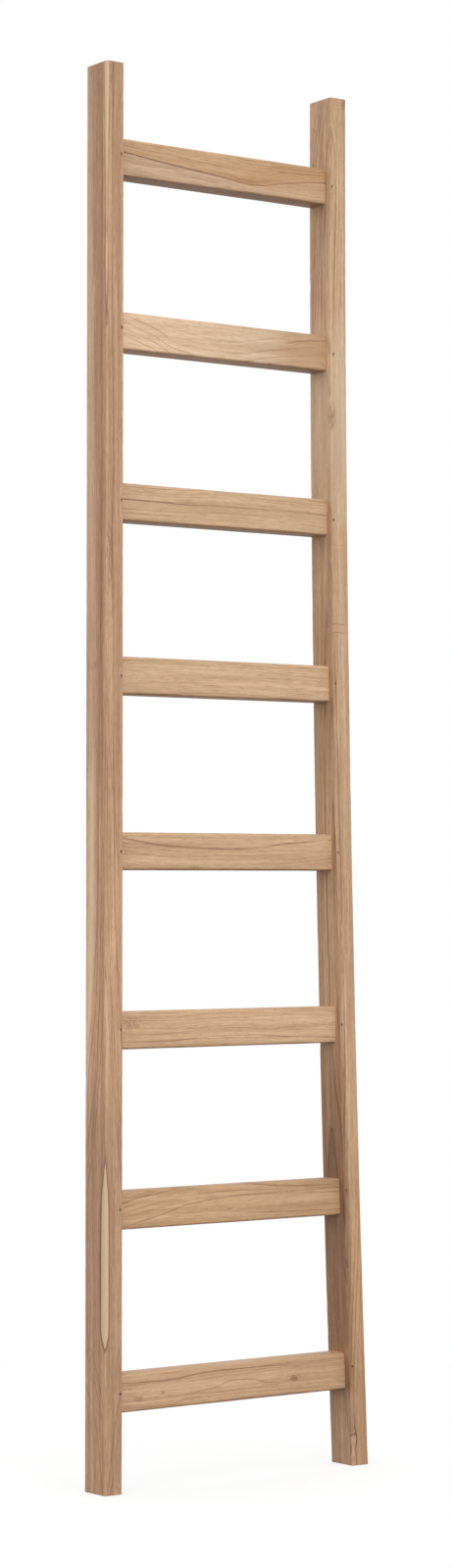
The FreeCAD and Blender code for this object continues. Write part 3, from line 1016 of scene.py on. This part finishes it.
def pin_stains(board, place, along, colour, side):
    """Dark stains in the wood round the steel pins, a little longer along the grain."""
    x, y, z = board.split(place)
    nearest = None
    for number in NUMBERS:
        pin_x, pin_z = pin_place(side, number)
        middle = inner_face(side, pin_z) + outwards(side, STILE_WIDTH / 2)
        above = board.times(board.minus(z, pin_z - 0.0004), 0.6)
        away = board.vector("LENGTH", board.combine(board.minus(x, pin_x - middle), 0.0, above))
        nearest = away if nearest is None else board.math("MINIMUM", nearest, away)
    stain = board.times(board.fall(nearest, 0.0010, 0.0023, 0.5), board.fall(y, -0.02, -0.012))
    return board.stain(stain, colour, DARK)


STILE_LOOKS = {
    "left": look(
        (200, 162, 129), (180, 141, 110), (104, 68, 46), (74, 44, 0), 3.0, ring=2.8, ripple=1.6,
        strength=0.55, start=0.5, streak=0.85,
        drift_x=scaled(LEFT_DRIFT, SAP_SQUARE[0]),
        drift_y=scaled(LEFT_DRIFT, SAP_SQUARE[1]),
        tone=(0, 1.0, 120, 0.98, 250, 0.93, 450, 0.93, 620, 1.26, 850, 1.16, 1000, 1.06, 1250, 1.06,
         1600, 1.1, 1750, 1.06, 1900, 0.98),
        lines=(
            ("y", (0, -14, 225, -12, 475, -17, 950, -14, 1425, -13, 1900, -9), 3.0, (0, 0.0, 200, 0.1,
             300, 0.45, 440, 0.4, 600, 0.3, 950, 0.6, 1190, 0.65, 1425, 0.45, 1900, 0.35), 0.35, UMBER),
            ("y", (0, -4, 950, -7, 1425, -6, 1900, -2), 4.5, (0, 0, 900, 0.1, 1000, 0.4, 1150, 0.4,
             1425, 0.45, 1900, 0.45), 0.3, UMBER),
            ("y", (0, 28, 475, 24, 560, 20, 640, 14, 700, 11, 800, 9, 950, 10, 1425, 15, 1900, 20), 6.0,
             (0, 0.0, 440, 0.2, 600, 0.6, 700, 0.85, 880, 0.85, 960, 0.55, 1050, 0.3, 1425, 0.3,
             1900, 0.25), 0.15, CREAM),
            ("y", (0, 12, 475, 18, 600, 6, 662, -2, 760, -5, 950, -4, 1425, 2, 1900, 8), 1.0, (0, 0.1,
             475, 0.6, 680, 0.6, 800, 0.35, 1425, 0.3, 1900, 0.3), 0.3, UMBER),
            ("y", (0, 5, 475, 4, 552, -4, 600, -7, 700, -11, 950, -15, 1900, -15), 0.9, (0, 0, 440, 0.2,
             500, 0.6, 680, 0.5, 800, 0.2, 950, 0, 1900, 0), 0.3, DARK),
            ("x", (0, 10, 790, 9, 830, 6, 870, 3, 915, -1, 950, -5, 1000, -9, 1075, -12, 1120, -15,
             1900, -20), 0.55, (0, 0, 780, 0, 830, 0.7, 915, 0.85, 1000, 0.6, 1075, 0.5, 1120, 0, 1900, 0),
             0.3, ROSY),
            ("x", (0, -12, 1180, -11, 1290, -4, 1330, -3, 1375, 0, 1425, 6, 1500, 12, 1900, 16), 0.5,
             (0, 0, 1170, 0, 1200, 0.5, 1290, 0.6, 1425, 0.5, 1500, 0, 1900, 0), 0.7, ROSY),
            ("x", (0, -9, 40, -2, 60, 3, 90, 10, 150, 16, 1900, 16), 0.6, (0, 0.1, 50, 0.5, 90, 0.4,
             130, 0, 1900, 0), 0.4, ROSY),
            ("x", (0, 13.5, 1900, 13.5), 1.0, (0, 0.25, 1900, 0.2), 0.5, ROSY),
        ),
        marks=(
            (left_sapwood,),
            (foot_crack, "left"),
            (pin_stains, "left"),
            (blotch, (5, -24, 7), (9, 5, 12), 0.5, (210, 176, 142), (300, 300, 90)),
            (blotch, (-8, -24, 1240), (7, 5, 55), 0.5, UMBER, (380, 380, 70)),
            (blotch, (-13, -24, 1555), (3, 4, 16), 0.7, (112, 84, 68), (420, 420, 120)),
            (blotch, (-12, -12, 330), (5, 4, 110), 0.5, (118, 84, 66), (520, 520, 40)),
        )),
    "right": look(
        (208, 174, 140), (188, 150, 116), (108, 70, 46), (-52, -38, 0), 8.0, ring=3.2, ripple=2.2,
        strength=0.6, start=0.5, streak=0.8,
        drift_x=(0, -14, 100, -8, 200, 0, 300, 8, 475, 14, 700, 16, 1000, 14, 1200, 10, 1425, 2, 1575, 12,
         1750, 20, 1900, 24),
        drift_y=(0, 0, 300, 6, 430, 0, 540, 12, 1000, 20, 1590, 10, 1750, 2, 1810, -2, 1850, -10,
         1900, -22),
        tone=(0, 0.92, 200, 0.9, 420, 0.94, 520, 1.08, 900, 1.06, 1250, 1.06, 1350, 1.12, 1500, 1.16,
         1620, 1.06, 1800, 1.02, 1900, 0.98),
        lines=(
            *[("y", (1570, 6 + shift, 1650, 3 + shift, 1750, -4 + shift, 1805, -9 + shift), half,
               (1570, 0, 1600, 0.55, 1750, 0.5, 1805, 0), 0.3, UMBER)
              for shift, half in ((-8, 0.7), (0, 1.1), (5, 0.7), (11, 0.9))],
            *[("y", (1795, 16 + shift, 1840, 10 + shift, 1870, 3 + shift, 1900, -8 + shift), half,
               (1795, 0, 1815, 0.5, 1880, 0.6, 1900, 0.5), 0.3, UMBER)
              for shift, half in ((-14, 0.8), (-6, 0.7), (0, 1.1), (7, 0.8))],
            *[("x", (90, -14 + shift, 160, -9 + shift, 230, -3 + shift, 300, 3 + shift, 360, 7 + shift),
               half, (90, 0, 130, 0.55, 280, 0.55, 360, 0), 0.45, tone)
              for shift, half, tone in ((-4, 0.7, (226, 178, 126)), (-1, 0.5, UMBER),
                                        (2, 1.0, (226, 178, 126)), (5, 0.5, UMBER),
                                        (8, 0.8, (222, 172, 120)), (12, 0.6, UMBER))],
            ("x", (1290, 0, 1600, 0), 18, (1290, 0, 1340, 0.35, 1480, 0.55, 1540, 0.45, 1600, 0), 0.0,
             (212, 189, 160)),
        ),
        sides=(
            # The first tone darkens the inner face, most from 130 to 480 mm up and less up to 1560 mm:
            # partly browner wood, partly painted shade from the throw that hangs over the real ladder and is
            # not modelled.
            ("x", (0, -7, 1900, -7), -4, (0, 0.1, 90, 0.25, 130, 0.9, 480, 0.9, 600, 0.4, 1300, 0.3,
             1560, 0, 1900, 0), (198, 184, 174)),
            ("x", (0, 0, 1900, 0), 9, (0, 0.8, 180, 1.0, 420, 0.7, 560, 0, 1900, 0), (255, 244, 226)),
        ),
        knots=(
            ((-14, -14, 258), (4, 6, 14), 0.1, 0.35, (176, 134, 100)),
        ),
        marks=(
            (right_arch,),
            (foot_crack, "right"),
            (pin_stains, "right"),
            (scar, 1156, 6, 0.85),
            (scar, 1268, 4, 0.4),
            (blotch, (-12, -24, 1452), (9, 9, 24), 0.6, (138, 104, 90), (150, 150, 60)),
            (blotch, (-13, -24, 1446), (6, 7, 22), 0.4, (104, 74, 60), (300, 300, 90)),
            (blotch, (10, -24, 1894), (7, 10, 11), 0.6, UMBER, (200, 200, 120)),
            (blotch, (-13.5, -23, 268), (3, 4, 26), 0.75, DARK, (460, 460, 110)),
            (blotch, (-12, -24, 30), (9, 6, 42), 0.35, (150, 100, 74), (260, 260, 80)),
        )),
}
R1_COURSE = (-190, 9, -168, 6.7, -125, 2.5, -75, -2.2, -25, -6, 0, -8.2, 25, -11.2, 42, -12.7, 60, -12,
 75, -9.5, 100, -4.5, 125, -0.7, 150, 3, 170, 4.7, 190, 6)
RUNG_LOOKS = (
    look(
        (212, 180, 149), (196, 163, 133), (112, 74, 48), (60, 36, 0), 11.0, ring=4.2, ripple=1.2,
        strength=0.5,
        drift_x=R1_COURSE,
        lines=(
            ("x", R1_COURSE, 0.75, (-190, 0.85, 0, 0.9, 42, 0.6, 125, 0.75, 190, 0.75), 0.1, DARK),
            ("x", (-190, 16, -75, 11, 0, 6, 50, 2, 100, 11, 190, 15), 0.6, (-190, 0.5, 0, 0.3, 60, 0.2,
             110, 0.8, 190, 0.7), 0.3, DARK),
            ("x", (-190, 20, 0, 22, 50, 16, 100, 17, 190, 19), 0.6, (-190, 0.4, 0, 0.1, 75, 0.6, 190, 0.7),
             0.4, UMBER),
            ("x", (-190, 10, 0, -3, 42, -8.5, 80, -3, 190, 10), 2.6, (-190, 0, 0, 0.15, 42, 0.6, 80, 0.35,
             115, 0, 190, 0), 0.2, (150, 108, 76)),
            ("x", (-190, 18, 40, 8, 100, 12, 190, 17), 9, (-190, 0, 0, 0.1, 100, 0.5, 190, 0.5), 0.0,
             (178, 134, 92)),
            ("x", (-190, -14, 190, -10), 14, (-190, 0, 30, 0.1, 100, 0.4, 190, 0.45), 0.0,
             (202, 160, 116)),
        ),
        sides=(
            ("x", R1_COURSE, 0.4, (-190, 1, 190, 1), (255, 248, 232)),
        ),
        knots=(
            ((-24, -15, 165), (2, 3, 5), 0.8, 0.0, DARK),
        )),
    look(
        (236, 205, 172), (222, 189, 155), (140, 98, 66), (40, 60, 0), 12.0, ring=5.0, ripple=1.4,
        strength=0.7,
        tone=(-190, 1.04, -70, 1.0, 100, 0.8, 130, 0.74, 190, 0.72),
        drift_x=(-190, 24, -120, 4, -75, -12, 0, -18, 75, -8, 120, -2, 190, 6),
        lines=(
            ("x", (-190, 0, 190, 0), 40, (-190, 0, 60, 0, 115, 0.5, 190, 0.6), 0.0, (190, 146, 102)),
            ("x", (-190, 0, 100, 8, 120, 12, 170, 17, 190, 18), 1.0, (-190, 0, 90, 0, 120, 0.6, 190, 0.6),
             0.3, UMBER),
        )),
    look(
        (218, 184, 148), (202, 167, 131), (112, 74, 48), (70, 30, 0), 13.0, ring=4.0, ripple=1.0,
        strength=0.7,
        drift_x=(-190, 0, -80, 1, 0, 4, 90, 2, 190, -2),
        lines=(
            ("x", (-190, 3.2, -100, 3.0, -80, 2, 0, 4, 190, 0), 0.7, (-190, 0.95, -90, 0.8, 0, 0.5,
             190, 0.6), 0.1, DARK),
        )),
    look(
        (220, 186, 150), (206, 171, 134), (116, 76, 50), (64, 40, 0), 14.0, ring=3.4, ripple=1.0,
        strength=0.75,
        drift_x=(-190, -2, -100, 2, 0, 5, 100, 1, 190, -3)),
    look(
        (216, 180, 144), (198, 162, 127), (112, 74, 50), (-56, 40, 0), 15.0, ring=4.2, ripple=1.6,
        strength=0.5,
        drift_x=(-190, 4, -140, -4, -110, -8, 0, -12, 100, -4, 190, 4),
        lines=(
            ("x", (-190, 1, -170, -1, -140, -5, -100, -7, 0, -6, 190, 2), 0.6, (-190, 0.4, -130, 0.5,
             -100, 0.5, 0, 0.3, 190, 0.3), 0.4, UMBER),
        )),
    look(
        (220, 184, 147), (205, 168, 132), (116, 76, 50), (50, 50, 0), 16.0, ring=3.4, ripple=1.6,
        strength=0.75,
        drift_x=(-190, 1, -125, -1, 0, 5, 100, 0, 190, -4),
        lines=(
            ("x", (-190, 18, -140, 12, 0, 14, 190, 18), 0.5, (-190, 0.6, -140, 0.6, 0, 0.3, 190, 0.4), 0.3,
             UMBER),
            ("x", (-190, -16, 0, -14, 190, -18), 0.7, (-190, 0.6, 0, 0.4, 190, 0.5), 0.3, UMBER),
        ),
        marks=(
            (blotch, (9, -17, 163), (12, 8, 18), 0.4, DARK, (430, 430, 260)),
        )),
    look(
        (216, 177, 137), (198, 159, 120), (112, 74, 50), (-46, 44, 0), 17.0, ring=6.0, ripple=1.6,
        strength=0.5, start=0.4,
        tone=(-190, 1.02, 0, 1.0, 100, 0.94, 190, 0.9),
        drift_x=(-190, -12, -150, -1, -110, 5, -75, 10, 0, 14, 100, 12, 190, 10),
        lines=(
            ("x", (-190, 9, -182, 10, -150, 17, -110, 22, -75, 26, 0, 27, 100, 19, 190, 18), 1.1,
             (-190, 0.75, -120, 0.6, -75, 0.5, 100, 0.7, 190, 0.7), 0.2, UMBER),
            ("x", (-190, -25, -140, -13, -100, -4, -75, 3, 0, 10, 100, 12, 190, 13), 0.7, (-190, 0,
             -140, 0.6, -75, 0.7, 100, 0.5, 190, 0.5), 0.3, UMBER),
            ("x", (-190, -20, -60, -8, 50, -14, 190, -17), 0.8, (-190, 0.2, 0, 0.3, 107, 0.7, 190, 0.6),
             0.3, UMBER),
        )),
    look(
        (216, 179, 141), (200, 163, 127), (112, 74, 50), (44, 46, 0), 18.0, ring=5.0, ripple=2.0,
        strength=0.55,
        tone=(-190, 1.02, 60, 1.0, 120, 0.94, 190, 0.92),
        drift_x=(-190, -2, -125, -4, -75, -1, 0, 2, 75, 1, 190, 0),
        lines=(
            ("x", (-190, 15, -125, 12.5, -75, 15, -25, 18, 50, 17.5, 100, 16, 190, 16), 0.6, (-190, 0.5,
             -75, 0.6, 0, 0.8, 100, 0.7, 190, 0.5), 0.25, UMBER),
            ("x", (-190, 11, -150, 10, -75, 12, 0, 14, 80, 14, 190, 13), 0.5, (-190, 0.7, -120, 0.4,
             0, 0.2, 75, 0.6, 190, 0.3), 0.4, UMBER),
            ("x", (-190, -10, -100, -10, -75, -8, -25, -3, 0, 3, 25, 2, 60, -5, 100, -7, 190, -8), 0.6,
             (-190, 0, -80, 0.3, -50, 0.7, 0, 0.6, 60, 0.6, 90, 0, 190, 0), 0.3, UMBER),
            ("x", (-190, -8, -75, -9, 0, -10, 60, -8, 190, -6), 0.5, (-190, 0.3, -75, 0.6, 0, 0.4, 60, 0.5,
             100, 0, 190, 0), 0.4, UMBER),
            ("x", (-190, -16, -110, -21, -75, -15, 0, -15, 100, -17, 190, -20), 0.7, (-190, 0.2, -100, 0.6,
             0, 0.5, 100, 0.4, 190, 0.3), 0.3, UMBER),
        ),
        knots=(
            ((-3, -17, -100), (6, 9, 9), 0.65, 0.6, (140, 96, 70)),
            ((-4, -17, 118), (3, 4, 3), 0.5, 0.5, UMBER),
        ),
        marks=(
            (blotch, (-8, -17, 160), (6, 6, 15), 0.45, UMBER, (260, 260, 110)),
        )),
)


def rung_look(number):
    own = RUNG_LOOKS[number - 1]
    # Every rung also gets the painted shade along its lower arris.
    return dict(own, sides=own["sides"] + (UNDERSIDE_PAINTED_SHADE,))


# ---------------------------------------------------------------- floor, light, camera

WHITE = (1, 1, 1, 1)
# What the floor adds for the camera, so that it shows white where no shadow lies.
FLOOR_LIFT = 0.72
FLOOR_GREY = 0.3
FLOOR_HALF = 30
FLOOR_DROP = 0.0002
SKY = 0.93
LAMP_SIZE = 3.0
LAMP_TARGET = (0, 0, 0.95)
LAMPS = (("front_soft_box", (-0.8, -6.0, 1.7), 111), ("left_soft_box", (-6.0, -1.6, 1.7), 66))
LENS = 80.3
CAMERA_PLACE = (-2.7934, -3.8524, 0.7488)
# Roll, pitch and heading, in the order in which they turn the camera.
CAMERA_TURNS = ((-0.442, "Z"), (90 + 2.276, "X"), (-35.98, "Z"))


def make_floor():
    """A pale floor that shows as plain white away from the ladder and keeps its shadow."""
    bm = bmesh.new()
    bmesh.ops.create_grid(bm, x_segments=4, y_segments=4, size=FLOOR_HALF)
    mesh = bpy.data.meshes.new("floor")
    bm.to_mesh(mesh)
    bm.free()
    floor = show(bpy.data.objects.new("floor", mesh))
    floor.location.z = -FLOOR_DROP
    material, board, shader = new_material("pale_floor")
    seen = board.seen()
    board.feed(shader, Base_Color=(FLOOR_GREY, FLOOR_GREY, FLOOR_GREY, 1), Roughness=0.9,
               Specular_IOR_Level=0.0, Emission_Color=WHITE, Emission_Strength=board.times(seen, FLOOR_LIFT))
    white = board.feed(board.node("ShaderNodeEmission"), Strength=1.0, Color=WHITE)
    away = board.vector("LENGTH", board.vector("MULTIPLY", board.object_place(), (1, 1, 0)))
    far = board.times(board.fade(away, 0.45, 1.3), seen)
    board.blend(far, shader.outputs[0], white.outputs[0], material.node_tree.nodes["Material Output"])
    mesh.materials.append(material)


def make_world():
    world = bpy.data.worlds.new("studio")
    world.use_nodes = True
    bpy.context.scene.world = world
    board = Board(world.node_tree)
    nodes = world.node_tree.nodes
    soft = board.feed(nodes["Background"], Color=WHITE, Strength=SKY)
    plain = board.feed(board.node("ShaderNodeBackground"), Color=WHITE, Strength=1.0)
    board.blend(board.seen(), soft.outputs[0], plain.outputs[0], nodes["World Output"])


def make_lamp(name, place, power):
    data = bpy.data.lights.new(name, "AREA")
    data.shape = "SQUARE"
    data.size = LAMP_SIZE
    data.energy = power
    lamp = show(bpy.data.objects.new(name, data))
    lamp.location = place
    lamp.rotation_mode = "QUATERNION"
    lamp.rotation_quaternion = (Vector(LAMP_TARGET) - Vector(place)).to_track_quat("-Z", "Y")


def make_camera():
    data = bpy.data.cameras.new("camera")
    data.sensor_width = 36
    data.lens = LENS
    data.clip_start = 0.1
    data.clip_end = 100
    camera = show(bpy.data.objects.new("camera", data))
    roll, pitch, heading = [Matrix.Rotation(math.radians(turn), 4, axis) for turn, axis in CAMERA_TURNS]
    camera.matrix_world = Matrix.Translation(CAMERA_PLACE) @ heading @ pitch @ roll
    bpy.context.scene.camera = camera


def main():
    bpy.context.scene.view_settings.view_transform = "Standard"
    groups = {"place": bar_place_group(), "wood": wood_group(), "line": drawn_line_group(),
              "knot": knot_group()}
    for side, seed in zip(SIDES, STILE_SEEDS):
        wood = wood_material(side + "_stile_wood", stile_place(groups, side), groups,
                             STILE_WIDTH / 2, STILE_DEPTH / 2, STILE_LOOKS[side])
        make_stile(side, wood, seed)
    for number in NUMBERS:
        wood = wood_material("rung_{}_wood".format(number), rung_place(number), groups,
                             RUNG_FACE / 2, RUNG_THICKNESS / 2, rung_look(number))
        make_rung(number, wood, FIRST_RUNG_SEED + 3 * number)
    steel = steel_material()
    for side in SIDES:
        for number in NUMBERS:
            make_pin(side, number, steel)
    make_floor()
    make_world()
    for lamp in LAMPS:
        make_lamp(*lamp)
    make_camera()


main()
